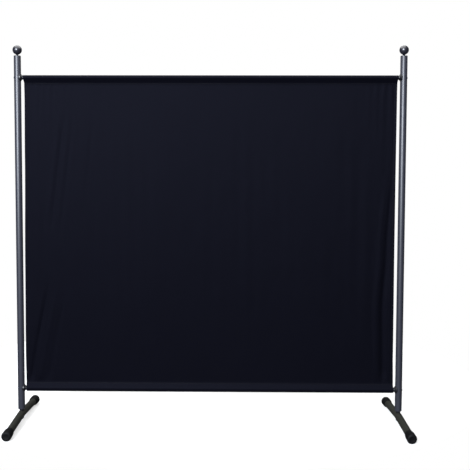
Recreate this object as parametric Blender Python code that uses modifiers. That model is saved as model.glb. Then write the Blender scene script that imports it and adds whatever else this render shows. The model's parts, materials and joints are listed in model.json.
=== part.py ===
"""Free-standing room divider screen: one fabric panel between two round steel posts.

Each post ends in a ball finial at the top and stands on a bent foot tube at the bottom. The foot is
clamped by one upright bolt, and it turns about the post's axis to lie in line with the panel when
the screen is put away. Two crossbars run between the posts through sleeves sewn into the panel.

Metres, +Z up. X is the screen's width and Y its depth, with the front towards -Y. The origin is on
the floor, midway between the posts.
"""

import math

import bmesh
import bpy

# Posts
POST_SPACING = 1.774
POST_RADIUS = 0.016
POST_WALL = 0.0012
POST_BOTTOM = 0.061
POST_TOP = 1.709

# Finials and the plugs that hold them
PLUG_FLANGE = 0.002
PLUG_DEPTH = 0.016
BALL_RADIUS = 0.0212
NECK_HEIGHT = 0.0045
NECK_RADIUS = 0.0032
STUD_RADIUS = 0.003
STUD_LENGTH = 0.012

# Crossbars and what fastens them to the posts
BAR_RADIUS = 0.0095
BAR_WALL = 0.001
TOP_BAR = 1.612
BOTTOM_BAR = 0.1605
SADDLE_START = 0.0085
SADDLE_RADIUS = 0.0172
SADDLE_EASE = 0.0159
COLLAR_RADIUS = 0.010
COLLAR_START = 0.0235
BAR_START = 0.0253
BAR_PLUG_LENGTH = 0.022
BAR_BOLT_RADIUS = 0.003
BAR_BOLT_REACH = 0.040
BAR_BOLT_HEAD = (0.0052, 0.0014)

# Fabric panel
PANEL_WIDTH = 1.721
CLOTH = 0.0011
SHEET = 0.0015
TOP_SEAM_DROP = 0.026
BOTTOM_SEAM_RISE = 0.0235
BOTTOM_SLACK = 0.0046

# Feet
FOOT_RADIUS = 0.017
FOOT_WALL = 0.0015
FOOT_HALF_LENGTH = 0.283
FOOT_CREST = 0.0363
FOOT_SLOPE = math.radians(3.2)
FOOT_BEND_RADIUS = 0.4
FOOT_BOLT_RADIUS = 0.004
FOOT_BOLT_HEAD = (0.0075, 0.0045)
FOOT_BOLT_REACH = 0.022
SPACER_RADIUS = 0.0112
WASHER_RADIUS = 0.011
WASHER_DROP = 0.0032
CAP_RADIUS = 0.0225
CAP_LENGTH = 0.062
CAP_END_ROUND = 0.009
CAP_END_WALL = 0.006

# Fits
GAP = 0.0003
HOLE_CLEARANCE = 0.0004
SWIVEL_CLEARANCE = 0.0005

# Smoothness
SIDES = 24
SMALL_SIDES = 16
FOOT_BEVEL_RESOLUTION = 10
SHARP_ANGLE = math.radians(35)
FACET_TURN = math.radians(5)

FINISHES = {
    "anthracite_powder_coat": ((0.060, 0.062, 0.078), 0.25, 0.38),
    "anthracite_lacquer": ((0.060, 0.062, 0.078), 0.0, 0.30),
    "dark_grey_powder_coat": ((0.045, 0.045, 0.042), 0.20, 0.50),
    "black_nylon": ((0.015, 0.015, 0.018), 0.0, 0.45),
    "black_rubber": ((0.018, 0.018, 0.020), 0.0, 0.75),
    "zinc_plated_steel": ((0.45, 0.45, 0.47), 1.0, 0.35),
    "black_polyester": ((0.008, 0.009, 0.013), 0.0, 0.85),
}

SIDE_SIGNS = {"left": -1, "right": 1}


def clear_scene():
    for obj in list(bpy.data.objects):
        bpy.data.objects.remove(obj)


def new_collection(name):
    collection = bpy.data.collections.new(name)
    bpy.context.scene.collection.children.link(collection)
    return collection


def finish(name):
    """The named finish, as a material with one Principled shader."""
    found = bpy.data.materials.get(name)
    if found:
        return found
    colour, metallic, roughness = FINISHES[name]
    made = bpy.data.materials.new(name)
    made.use_nodes = True
    shader = made.node_tree.nodes["Principled BSDF"]
    shader.inputs["Base Color"].default_value = (*colour, 1)
    shader.inputs["Metallic"].default_value = metallic
    shader.inputs["Roughness"].default_value = roughness
    return made


def add_piece(name, data, finish_name, pivot=None):
    """A visible sub-part of the screen, placed under the pivot when it moves with one."""
    piece = bpy.data.objects.new(name, data)
    data.materials.append(finish(finish_name))
    bpy.data.collections["room_divider_screen"].objects.link(piece)
    piece.parent = pivot
    return piece


def add_cutter(name, data):
    cutter = bpy.data.objects.new(name, data)
    bpy.data.collections["cutters"].objects.link(cutter)
    cutter.hide_render = True
    cutter.display_type = "WIRE"
    return cutter


def profile_mesh(name, points, closed):
    """The edges of a profile in the XZ plane, from (radius, height) points."""
    mesh = bpy.data.meshes.new(name)
    edges = [(i, i + 1) for i in range(len(points) - 1)]
    if closed:
        edges.append((len(points) - 1, 0))
    mesh.from_pydata([(radius, 0, height) for radius, height in points], edges, [])
    return mesh


def turn(obj, sides):
    """Turns the object's profile about its own Z axis."""
    screw = obj.modifiers.new("Turned", "SCREW")
    screw.steps = sides
    screw.render_steps = sides
    screw.use_merge_vertices = True
    screw.merge_threshold = 0.00001


def turned_piece(name, points, finish_name, closed=False, sides=SIDES, pivot=None):
    piece = add_piece(name, profile_mesh(name, points, closed), finish_name, pivot)
    turn(piece, sides)
    return piece


def rod_points(radius, low, high):
    """Profile of a solid rod, from its top's centre down its side to its bottom's centre."""
    return [(0, high), (radius, high), (radius, low), (0, low)]


def tube_points(outer, inner, low, high):
    """Closed profile of a tube or a washer, down its outside and up its bore."""
    return [(outer, high), (outer, low), (inner, low), (inner, high)]


def rod_cutter(name, radius, low, high, sides=SIDES):
    cutter = add_cutter(name, profile_mesh(name, rod_points(radius, low, high), False))
    turn(cutter, sides)
    return cutter


def lay_along_x(obj, place, sign=1):
    """Lays a turned piece on its side, its own +Z pointing along X, or along -X for sign -1."""
    obj.location = place
    obj.rotation_euler = (0, sign * math.pi / 2, 0)


def cut(obj, cutter, operation="DIFFERENCE"):
    boolean = obj.modifiers.new(cutter.name, "BOOLEAN")
    boolean.operation = operation
    boolean.object = cutter
    boolean.solver = "EXACT"


def swept_mesh(name, places, radius):
    """A round bar along a path, with its end caps welded on."""
    curve = bpy.data.curves.new(name, "CURVE")
    curve.dimensions = "3D"
    curve.bevel_depth = radius
    curve.bevel_resolution = FOOT_BEVEL_RESOLUTION
    curve.use_fill_caps = True
    spline = curve.splines.new("POLY")
    spline.points.add(len(places) - 1)
    for point, place in zip(spline.points, places):
        point.co = (*place, 1)
    guide = bpy.data.objects.new(name + "_path", curve)
    bpy.context.scene.collection.objects.link(guide)
    graph = bpy.context.evaluated_depsgraph_get()
    mesh = bpy.data.meshes.new_from_object(guide.evaluated_get(graph))
    bpy.data.objects.remove(guide)
    shell = bmesh.new()
    shell.from_mesh(mesh)
    bmesh.ops.remove_doubles(shell, verts=shell.verts, dist=0.00001)
    shell.to_mesh(mesh)
    shell.free()
    mesh.shade_smooth()
    mesh.set_sharp_from_angle(angle=SHARP_ANGLE)
    return mesh


# Posts, plugs and finials


def post(side, x):
    """A post tube, drilled through at both crossbars."""
    tube = tube_points(POST_RADIUS, POST_RADIUS - POST_WALL, POST_BOTTOM, POST_TOP)
    piece = turned_piece(f"post_{side}", tube, "anthracite_powder_coat", closed=True)
    piece.location.x = x
    for level, height in (("top", TOP_BAR), ("bottom", BOTTOM_BAR)):
        reach = POST_RADIUS * 1.5
        drill = rod_cutter(
            f"drill_{level}_{side}", BAR_BOLT_RADIUS + HOLE_CLEARANCE, -reach, reach, SMALL_SIDES
        )
        lay_along_x(drill, (x, 0, height))
        cut(piece, drill)


def post_plug(side, x):
    """The plug in a post's top: a flange as wide as the post, and a body that grips the bore."""
    body = POST_RADIUS - POST_WALL - GAP
    low = POST_TOP - PLUG_DEPTH
    seat = POST_TOP + GAP
    top = seat + PLUG_FLANGE
    hole = STUD_RADIUS + HOLE_CLEARANCE
    profile = [(POST_RADIUS, top), (POST_RADIUS, seat), (body, seat), (body, low), (hole, low), (hole, top)]
    piece = turned_piece(f"post_plug_{side}", profile, "black_nylon", closed=True)
    piece.location.x = x


def finial_points():
    """Profile of the ball, its short waisted neck and its stud, with the neck's foot at height 0."""
    centre = NECK_HEIGHT + BALL_RADIUS
    leave = math.radians(28)
    steps = 12
    points = []
    for i in range(steps + 1):
        angle = (math.pi - leave) * i / steps
        points.append((BALL_RADIUS * math.sin(angle), centre + BALL_RADIUS * math.cos(angle)))
    start_radius, start_height = points[-1]
    for t in (0.35, 0.65, 1.0):
        radius = NECK_RADIUS + (start_radius - NECK_RADIUS) * (1 - t) ** 2
        points.append((radius, start_height * (1 - t)))
    points += [(STUD_RADIUS, 0), (STUD_RADIUS, -STUD_LENGTH), (0, -STUD_LENGTH)]
    return points


def finial(side, x):
    piece = turned_piece(f"finial_{side}", finial_points(), "anthracite_lacquer")
    piece.location = (x, 0, POST_TOP + PLUG_FLANGE + 2 * GAP)


# Crossbars, their saddles, plugs and bolts


def crossbar(level, height):
    half = POST_SPACING / 2 - BAR_START
    tube = tube_points(BAR_RADIUS, BAR_RADIUS - BAR_WALL, -half, half)
    piece = turned_piece(f"crossbar_{level}", tube, "anthracite_powder_coat", closed=True)
    lay_along_x(piece, (0, 0, height))


def saddle_points():
    """Profile of a saddle: a skirt that wraps the post, sweeping in to a collar against the bar."""
    bore = BAR_BOLT_RADIUS + HOLE_CLEARANCE
    end = BAR_START - GAP
    points = [(COLLAR_RADIUS, end)]
    steps = 5
    for i in range(steps + 1):
        t = i / steps
        radius = COLLAR_RADIUS + (SADDLE_RADIUS - COLLAR_RADIUS) * t**2
        points.append((radius, COLLAR_START + (SADDLE_EASE - COLLAR_START) * t))
    return points + [(SADDLE_RADIUS, SADDLE_START), (bore, SADDLE_START), (bore, end)]


def bar_joint(side, level, x, height):
    """What joins one end of a crossbar to its post: saddle, threaded plug and bolt."""
    inwards = -SIDE_SIGNS[side]
    place = (x, 0, height)
    tag = f"{level}_{side}"

    saddle = turned_piece(f"saddle_{tag}", saddle_points(), "black_nylon", closed=True)
    lay_along_x(saddle, place, inwards)
    reach = SADDLE_RADIUS * 1.5
    cope = rod_cutter(f"cope_{tag}", POST_RADIUS + GAP, -reach, reach, 2 * SIDES)
    cope.location = place
    cut(saddle, cope)

    inner = BAR_RADIUS - BAR_WALL - GAP
    hole = BAR_BOLT_RADIUS + GAP
    tube = tube_points(inner, hole, BAR_START, BAR_START + BAR_PLUG_LENGTH)
    plug = turned_piece(f"bar_plug_{tag}", tube, "black_nylon", closed=True, sides=SMALL_SIDES)
    lay_along_x(plug, place, inwards)

    head_radius, head_height = BAR_BOLT_HEAD
    seat = -(POST_RADIUS + GAP)
    profile = [(0, BAR_BOLT_REACH), (BAR_BOLT_RADIUS, BAR_BOLT_REACH), (BAR_BOLT_RADIUS, seat)]
    profile += [(head_radius, seat), (head_radius, seat - head_height / 3)]
    profile += [(head_radius * 0.7, seat - head_height), (0, seat - head_height)]
    bolt = turned_piece(f"bar_bolt_{tag}", profile, "zinc_plated_steel", sides=SMALL_SIDES)
    lay_along_x(bolt, place, inwards)


# Fabric panel


def sleeve_outline(wall, seam, slack):
    """Half a sewn sleeve's outline about its bar, from the seam round to the far side's middle.

    The points are (depth, height) with the bar's centre at the origin and the seam below it. The
    far arc's centre is `slack` above the bar's, and `wall` is the outline's distance from the bar.
    """
    radius = BAR_RADIUS + wall
    leave = math.acos(radius / seam) - math.pi / 2
    bar_side = [(radius * math.cos(leave * t), radius * math.sin(leave * t)) for t in (1.0, 0.5, 0.0)]
    steps = 6
    angles = [math.pi / 2 * i / steps for i in range(steps + 1)]
    far_side = [(radius * math.cos(a), slack + radius * math.sin(a)) for a in angles]
    return bar_side + far_side[(slack == 0) :]


def both_sides(half):
    """A half outline that ends on the middle line, with its mirror image added."""
    return half + [(-depth, height) for depth, height in reversed(half[:-1])]


def add_outline(curve, points):
    spline = curve.splines.new("POLY")
    spline.points.add(len(points) - 1)
    spline.use_cyclic_u = True
    for point, (depth, height) in zip(spline.points, points):
        point.co = (depth, height, 0, 1)


def fabric_panel():
    """The panel with a sleeve round each crossbar: one outline, extruded along the bars."""
    curve = bpy.data.curves.new("fabric_panel", "CURVE")
    curve.dimensions = "2D"
    curve.fill_mode = "BOTH"
    curve.extrude = PANEL_WIDTH / 2
    outer_wall = GAP + CLOTH
    sewn = 4 * SHEET

    top = both_sides(sleeve_outline(outer_wall, TOP_SEAM_DROP, 0))
    bottom = both_sides(sleeve_outline(outer_wall, BOTTOM_SEAM_RISE, BOTTOM_SLACK))
    outline = [(SHEET / 2, TOP_BAR - TOP_SEAM_DROP)]
    outline += [(depth, TOP_BAR + height) for depth, height in top]
    outline += [(-SHEET / 2, TOP_BAR - TOP_SEAM_DROP), (-SHEET / 2, BOTTOM_BAR + BOTTOM_SEAM_RISE)]
    outline += [(-depth, BOTTOM_BAR - height) for depth, height in bottom]
    outline += [(SHEET / 2, BOTTOM_BAR + BOTTOM_SEAM_RISE)]
    add_outline(curve, outline)

    seam = TOP_SEAM_DROP - sewn
    hole = both_sides(sleeve_outline(GAP, seam, 0)) + [(0, -seam)]
    add_outline(curve, [(depth, TOP_BAR + height) for depth, height in hole])
    seam = BOTTOM_SEAM_RISE - sewn
    hole = both_sides(sleeve_outline(GAP, seam, BOTTOM_SLACK)) + [(0, -seam)]
    add_outline(curve, [(depth, BOTTOM_BAR - height) for depth, height in hole])

    panel = add_piece("fabric_panel", curve, "black_polyester")
    panel.rotation_euler = (math.pi / 2, 0, math.pi / 2)


# Feet


def foot_height(distance):
    """Height of the foot tube's axis at a distance along Y from the post's axis."""
    bend_end = FOOT_BEND_RADIUS * math.sin(FOOT_SLOPE)
    reach = min(abs(distance), bend_end)
    arc = FOOT_CREST - FOOT_BEND_RADIUS + math.sqrt(FOOT_BEND_RADIUS**2 - reach**2)
    return arc - math.tan(FOOT_SLOPE) * (abs(distance) - reach)


def foot_places(reach):
    """Points along the foot tube's axis, closer together through the bend."""
    bend_end = FOOT_BEND_RADIUS * math.sin(FOOT_SLOPE)
    distances = [-reach] + [bend_end * i / 3 for i in range(-3, 4)] + [reach]
    return [(0, distance, foot_height(distance)) for distance in distances]


def foot_tube(side, pivot, bolt_hole):
    reach = FOOT_HALF_LENGTH - CAP_END_WALL - GAP
    bar = swept_mesh(f"foot_{side}", foot_places(reach), FOOT_RADIUS)
    piece = add_piece(f"foot_{side}", bar, "dark_grey_powder_coat", pivot)
    past_ends = foot_places(reach + 0.01)
    bore = add_cutter(f"foot_bore_{side}", swept_mesh("foot_bore", past_ends, FOOT_RADIUS - FOOT_WALL))
    bore.parent = pivot
    cut(piece, bore)
    cut(piece, bolt_hole)


def cap_points():
    """Closed profile of a foot cap, with its outer end at height 0 and its mouth below it."""
    bore = FOOT_RADIUS + GAP
    steps = 4
    points = []
    for i in range(steps + 1):
        angle = math.pi / 2 * i / steps
        radius = CAP_RADIUS - CAP_END_ROUND * (1 - math.sin(angle))
        points.append((radius, CAP_END_ROUND * (math.cos(angle) - 1)))
    points += [(CAP_RADIUS - 0.001, -CAP_LENGTH * 0.80), (FOOT_RADIUS + 0.0016, -CAP_LENGTH * 0.93)]
    points += [(FOOT_RADIUS + 0.0014, -CAP_LENGTH), (bore, -CAP_LENGTH)]
    points += [(bore, -CAP_END_WALL), (0, -CAP_END_WALL)]
    return [(0, 0)] + points


def foot_cap(side, end, pivot):
    """A rubber cap on one end of a foot tube, its underside cut flat where it meets the floor."""
    forwards = -1 if end == "front" else 1
    cap = turned_piece(f"foot_cap_{end}_{side}", cap_points(), "black_rubber", pivot=pivot)
    cap.location = (0, forwards * FOOT_HALF_LENGTH, foot_height(FOOT_HALF_LENGTH))
    cap.rotation_euler.x = -forwards * (math.pi / 2 + FOOT_SLOPE)
    floor = bpy.data.meshes.new("floor_block")
    block = bmesh.new()
    bmesh.ops.create_cube(block, size=4 * CAP_LENGTH)
    block.to_mesh(floor)
    block.free()
    below = add_cutter(f"floor_{end}_{side}", floor)
    below.parent = pivot
    below.location = (0, forwards * FOOT_HALF_LENGTH, -2 * CAP_LENGTH)
    cut(cap, below)


def foot_saddle(side, pivot, cope):
    """The spacer that seats the post's flat end on the round foot tube."""
    top = POST_BOTTOM - GAP
    bore = FOOT_BOLT_RADIUS + SWIVEL_CLEARANCE
    waist = SPACER_RADIUS - 0.0014
    low = FOOT_CREST + FOOT_RADIUS / 2
    profile = [(SPACER_RADIUS, top), (SPACER_RADIUS, top - 0.0012), (waist, top - 0.003)]
    profile += [(waist, low), (bore, low), (bore, top)]
    piece = turned_piece(f"foot_saddle_{side}", profile, "black_nylon", closed=True, pivot=pivot)
    cut(piece, cope)


def foot_washer(side, pivot, cope):
    """The shaped washer under the foot tube, flat where the bolt's head bears on it."""
    low = FOOT_CREST - FOOT_RADIUS - WASHER_DROP
    high = FOOT_CREST - FOOT_RADIUS * 0.7
    tube = tube_points(WASHER_RADIUS, FOOT_BOLT_RADIUS + SWIVEL_CLEARANCE, low, high)
    piece = turned_piece(f"foot_washer_{side}", tube, "zinc_plated_steel", closed=True, pivot=pivot)
    piece.rotation_euler.z = FACET_TURN
    cut(piece, cope)


def post_insert(side, x):
    """The threaded plug in a post's bottom, which the foot bolt screws into."""
    inner = POST_RADIUS - POST_WALL - GAP
    tube = tube_points(inner, FOOT_BOLT_RADIUS + GAP, POST_BOTTOM, POST_BOTTOM + 0.026)
    piece = turned_piece(f"post_insert_{side}", tube, "black_nylon", closed=True)
    piece.location.x = x


def foot_bolt(side, x):
    """A hexagon bolt, up through the washer, foot tube and saddle into the post's insert."""
    head_radius, head_height = FOOT_BOLT_HEAD
    seat = FOOT_CREST - FOOT_RADIUS - WASHER_DROP - GAP
    shank = rod_points(FOOT_BOLT_RADIUS, seat - head_height / 2, POST_BOTTOM + FOOT_BOLT_REACH)
    bolt = turned_piece(f"foot_bolt_{side}", shank, "zinc_plated_steel", sides=SMALL_SIDES)
    bolt.location.x = x
    head = rod_cutter(f"bolt_head_{side}", head_radius, seat - head_height, seat, sides=6)
    head.location.x = x
    cut(bolt, head, "UNION")


def foot(side, x):
    """One foot: everything that turns together about the post's axis."""
    pivot = bpy.data.objects.new(f"foot_pivot_{side}", None)
    bpy.data.collections["room_divider_screen"].objects.link(pivot)
    pivot.location.x = x
    hole = rod_cutter(f"foot_hole_{side}", FOOT_BOLT_RADIUS + SWIVEL_CLEARANCE, 0, POST_BOTTOM)
    hole.parent = pivot
    crest = [(0, distance, foot_height(distance)) for distance in (-0.022, -0.011, 0, 0.011, 0.022)]
    cope = add_cutter(f"foot_cope_{side}", swept_mesh("foot_cope", crest, FOOT_RADIUS + GAP))
    cope.parent = pivot

    foot_tube(side, pivot, hole)
    foot_saddle(side, pivot, cope)
    foot_washer(side, pivot, cope)
    foot_cap(side, "front", pivot)
    foot_cap(side, "rear", pivot)


def main():
    clear_scene()
    new_collection("room_divider_screen")
    new_collection("cutters")
    for level, height in (("top", TOP_BAR), ("bottom", BOTTOM_BAR)):
        crossbar(level, height)
    fabric_panel()
    for side, sign in SIDE_SIGNS.items():
        x = sign * POST_SPACING / 2
        post(side, x)
        post_plug(side, x)
        finial(side, x)
        for level, height in (("top", TOP_BAR), ("bottom", BOTTOM_BAR)):
            bar_joint(side, level, x, height)
        post_insert(side, x)
        foot_bolt(side, x)
        foot(side, x)


main()
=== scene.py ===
import json
import math

import bmesh
import bpy
from mathutils import Matrix, Vector


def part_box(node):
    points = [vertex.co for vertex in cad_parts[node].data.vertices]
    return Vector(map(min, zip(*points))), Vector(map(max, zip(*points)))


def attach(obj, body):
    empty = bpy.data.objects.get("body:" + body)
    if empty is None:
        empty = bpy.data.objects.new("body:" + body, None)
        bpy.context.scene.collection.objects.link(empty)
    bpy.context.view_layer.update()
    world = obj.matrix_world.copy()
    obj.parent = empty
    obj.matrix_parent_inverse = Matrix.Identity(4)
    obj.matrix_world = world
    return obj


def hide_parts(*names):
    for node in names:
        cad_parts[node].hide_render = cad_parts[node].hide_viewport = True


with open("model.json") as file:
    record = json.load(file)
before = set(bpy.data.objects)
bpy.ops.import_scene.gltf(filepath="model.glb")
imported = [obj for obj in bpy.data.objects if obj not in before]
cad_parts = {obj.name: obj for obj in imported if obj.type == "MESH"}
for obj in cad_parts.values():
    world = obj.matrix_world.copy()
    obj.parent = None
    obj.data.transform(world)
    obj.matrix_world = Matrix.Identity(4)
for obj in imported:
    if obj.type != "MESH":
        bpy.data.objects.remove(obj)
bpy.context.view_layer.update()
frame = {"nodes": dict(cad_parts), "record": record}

bl_info = {
    "name": "Room Divider Screen",
    "version": (1, 0, 0),
    "blender": (4, 5, 0),
    "location": "3D View > Sidebar > Screen",
    "description": "Finishes a free-standing cloth room divider around its packed model",
    "category": "Object",
}

SIDES = ("left", "right")
LEVELS = ("top", "bottom")
ENDS = ("front", "rear")

# How many sides a round piece has: the large ones, and the crossbars and bolts.
FINE = 96
MEDIUM = 48
SMOOTH_ANGLE = math.radians(35)

# The clearance between two pieces that touch, so that neither cuts into the other.
GAP = 0.0003


def middle(node):
    low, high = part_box(node)
    return (low + high) / 2


def radius_of(node, axis=0):
    """Half a round node's width along an axis."""
    low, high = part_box(node)
    return (high[axis] - low[axis]) / 2


POST_X = {side: middle(f"post_{side}").x for side in SIDES}
POST_RADIUS = radius_of("post_left")
POST_LOW, POST_HIGH = (corner.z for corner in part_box("post_left"))
BAR_Z = {level: middle(f"crossbar_{level}").z for level in LEVELS}
BAR_RADIUS = radius_of("crossbar_top", 1)
BAR_HALF = radius_of("crossbar_top")
FOOT_RADIUS = radius_of("foot_left")
FOOT_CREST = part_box("foot_left")[1].z - FOOT_RADIUS
CAP_RADIUS = radius_of("foot_cap_front_left")
PANEL_LOW, PANEL_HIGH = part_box("fabric_panel")

# The feet's bend, as the frame's foot tubes have it.
FOOT_HALF_LENGTH = 0.283
FOOT_SLOPE = math.radians(3.2)
FOOT_BEND_RADIUS = 0.4

CAP_LENGTH = 0.062
CAP_END_WALL = 0.006
CAP_DISH = 0.0008
# The cap's outside on its way back to its mouth: how far inside its widest radius, or outside its
# mouth's, and at what share of its length.
CAP_BODY = ((0.0004, 0.45), (0.0009, 0.72), (0.0014, 0.80))
CAP_NECK = ((0.0012, 0.88), (0.0002, 0.915), (0, 0.955))

BODY = "frame"
FLAT_CLOTH = "Flat Cloth"
FOOT_BODY = {side: f"{side}_foot" for side in SIDES}


def linear(hex_colour):
    """A colour given as sRGB hex, as the linear values that Blender's sockets take."""
    channels = [int(hex_colour[i : i + 2], 16) / 255 for i in (1, 3, 5)]
    return (*[c / 12.92 if c <= 0.04045 else ((c + 0.055) / 1.055) ** 2.4 for c in channels], 1)


# Settings that a user would change


def length(name, description, default):
    return bpy.props.FloatProperty(
        name=name, description=description, default=default, unit="LENGTH", precision=4
    )


def colour(name, description, default):
    return bpy.props.FloatVectorProperty(
        name=name, description=description, default=linear(default), size=4, subtype="COLOR",
        min=0, max=1,
    )


class ScreenSizes(bpy.types.PropertyGroup):
    post_wall: length("Post wall", "Wall of the post tubes", 0.0012)
    bar_wall: length("Crossbar wall", "Wall of the crossbar tubes", 0.0010)
    foot_wall: length("Foot wall", "Wall of the foot tubes", 0.0015)
    edge_round: length("Edge round", "Radius left on cut and moulded edges", 0.0004)
    cloth: length("Cloth", "Thickness of one layer of the panel's cloth", 0.0008)
    hem: length("Hem", "Width of the folded hem down each side of the panel", 0.014)
    top_seam: length("Top seam", "From the top crossbar's middle down to its sleeve's seam", 0.026)
    bottom_seam: length("Bottom seam", "From the bottom crossbar's middle up to its seam", 0.0235)
    slack: length("Slack", "How far the bottom sleeve hangs below its crossbar", 0.0046)
    tail: length("Tail", "Cloth left past each seam on the back", 0.010)
    stitch_pitch: length("Stitch pitch", "From one stitch to the next", 0.005)
    stitch_length: length("Stitch length", "Length of the thread that shows", 0.0036)
    thread: length("Thread", "Thickness of the sewing thread", 0.0008)
    bolt_head: length("Bolt head", "Diameter of the crossbar bolts' heads", 0.0104)
    floor: length("Floor", "Radius of the floor", 1.5)


class ScreenColours(bpy.types.PropertyGroup):
    post: colour("Posts", "Anthracite powder coat of the posts and crossbars", "#1F2028")
    finial: colour("Finials", "Anthracite lacquer of the ball finials", "#17171E")
    foot: colour("Feet", "Dark grey powder coat of the feet", "#22221D")
    cloth: colour("Cloth", "Near-black polyester of the panel", "#040408")
    thread: colour("Thread", "Sewing thread", "#040406")
    nylon: colour("Nylon", "Moulded nylon of the saddles and plugs", "#0B0B0F")
    rubber: colour("Rubber", "Rubber of the foot caps", "#040405")
    steel: colour("Steel", "Zinc-plated bolts and washers", "#B9BABF")
    floor: colour("Floor", "Studio floor", "#A4A4A4")


# Materials


def add_node(tree, kind, inputs=(), **settings):
    """Adds a node with its settings, and fills its inputs with values or with links from sockets."""
    made = tree.nodes.new(kind)
    for name, value in settings.items():
        setattr(made, name, value)
    for key, value in dict(inputs).items():
        if isinstance(value, bpy.types.NodeSocket):
            tree.links.new(value, made.inputs[key])
        else:
            made.inputs[key].default_value = value
    return made


def new_material(name, **values):
    """A material with one Principled shader, its sockets set by name with _ for a space."""
    found = bpy.data.materials.get(name)
    if found:
        return found, None, None
    made = bpy.data.materials.new(name)
    made.use_nodes = True
    shader = made.node_tree.nodes["Principled BSDF"]
    for key, value in values.items():
        shader.inputs[key.replace("_", " ")].default_value = value
    return made, made.node_tree, shader


def mottle(tree, shader, coordinates, base, spread, scale):
    """Lets the base colour wander a little lighter and darker, as a real coat or moulding does."""
    patches = add_node(
        tree, "ShaderNodeTexNoise", {"Vector": coordinates, "Scale": scale, "Detail": 3}
    )
    lightness = add_node(
        tree, "ShaderNodeMapRange",
        {"Value": patches.outputs["Fac"], "From Min": 0.3, "From Max": 0.7,
         "To Min": 1 - spread, "To Max": 1 + spread},
    )
    tint = add_node(
        tree, "ShaderNodeHueSaturation", {"Color": base, "Value": lightness.outputs["Result"]}
    )
    tree.links.new(tint.outputs["Color"], shader.inputs["Base Color"])


def powder_coat(name, base, roughness, shine, peel):
    """Baked polyester powder on steel tube: a satin skin with orange peel about 1.5 mm across.

    The peel breaks up the edges of reflections, and a faint mottle keeps the colour from going flat.
    """
    made, tree, shader = new_material(name, Roughness=roughness, IOR=1.5, Specular_IOR_Level=shine)
    if tree is None:
        return made
    place = add_node(tree, "ShaderNodeTexCoord").outputs["Object"]
    mottle(tree, shader, place, base, 0.06, 24)
    grain = add_node(tree, "ShaderNodeTexNoise", {"Vector": place, "Scale": 650, "Detail": 2})
    bump = add_node(
        tree, "ShaderNodeBump",
        {"Strength": peel, "Distance": 0.00012, "Height": grain.outputs["Fac"]},
    )
    tree.links.new(bump.outputs["Normal"], shader.inputs["Normal"])
    rough = add_node(
        tree, "ShaderNodeMapRange",
        {"Value": grain.outputs["Fac"], "To Min": roughness - 0.05, "To Max": roughness + 0.06},
    )
    tree.links.new(rough.outputs["Result"], shader.inputs["Roughness"])
    return made


def moulded(name, base, roughness, shine, grain_size):
    """Moulded nylon or rubber: a spark-eroded texture that dulls the shine without hiding it."""
    made, tree, shader = new_material(name, Roughness=roughness, IOR=1.52, Specular_IOR_Level=shine)
    if tree is None:
        return made
    place = add_node(tree, "ShaderNodeTexCoord").outputs["Object"]
    mottle(tree, shader, place, base, 0.12, 60)
    grain = add_node(
        tree, "ShaderNodeTexVoronoi", {"Vector": place, "Scale": 1 / grain_size}, feature="F1"
    )
    bump = add_node(
        tree, "ShaderNodeBump",
        {"Strength": 0.5, "Distance": grain_size / 8, "Height": grain.outputs["Distance"]},
    )
    tree.links.new(bump.outputs["Normal"], shader.inputs["Normal"])
    return made


def zinc_plate(name, base):
    """Bright zinc plating on turned steel: a cool metal shine, clouded by the passivation on it."""
    made, tree, shader = new_material(name, Metallic=1.0, Roughness=0.32)
    if tree is None:
        return made
    place = add_node(tree, "ShaderNodeTexCoord").outputs["Object"]
    mottle(tree, shader, place, base, 0.10, 200)
    cloud = add_node(tree, "ShaderNodeTexNoise", {"Vector": place, "Scale": 900, "Detail": 3})
    rough = add_node(
        tree, "ShaderNodeMapRange",
        {"Value": cloud.outputs["Fac"], "To Min": 0.24, "To Max": 0.42},
    )
    tree.links.new(rough.outputs["Result"], shader.inputs["Roughness"])
    return made


def lacquer(name, base):
    """Sprayed lacquer on a ball: glossier than the posts, with a faint spray texture."""
    made, tree, shader = new_material(
        name, Roughness=0.36, IOR=1.5, Coat_Weight=0.10, Coat_Roughness=0.2
    )
    if tree is None:
        return made
    place = add_node(tree, "ShaderNodeTexCoord").outputs["Object"]
    mottle(tree, shader, place, base, 0.10, 70)
    grain = add_node(tree, "ShaderNodeTexNoise", {"Vector": place, "Scale": 500, "Detail": 2})
    bump = add_node(
        tree, "ShaderNodeBump",
        {"Strength": 0.18, "Distance": 0.0001, "Height": grain.outputs["Fac"]},
    )
    tree.links.new(bump.outputs["Normal"], shader.inputs["Normal"])
    return made


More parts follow.
